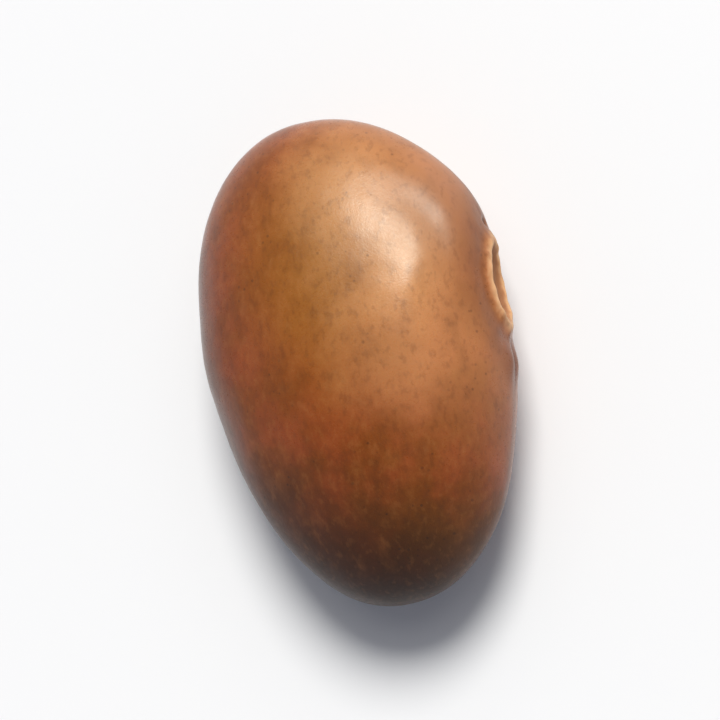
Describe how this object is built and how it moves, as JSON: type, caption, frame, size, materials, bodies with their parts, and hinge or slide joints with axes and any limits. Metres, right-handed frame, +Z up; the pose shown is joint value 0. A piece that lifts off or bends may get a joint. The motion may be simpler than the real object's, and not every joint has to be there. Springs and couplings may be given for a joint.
{
  "type": "horse gram seed",
  "caption": "Dry flattened bean-like seed with a lens-shaped section, a soft glossy coat, a slanted end and a collared scar on one long edge.",
  "frame": {"origin": "on the resting surface, under the middle of the seed's length and width", "axes": "+Y along the seed's length towards its wider, slanted end; +X towards the long edge with the scar; +Z up through its thickness"},
  "size_m": [0.0036, 0.0056, 0.0021],
  "materials": {
    "seed_coat": "smooth reddish brown seed coat with fine dark mottling and a soft gloss, paler round the scar"
  },
  "bodies": {
    "root": {"seed": "seed_coat"}
  },
  "joints": []
}
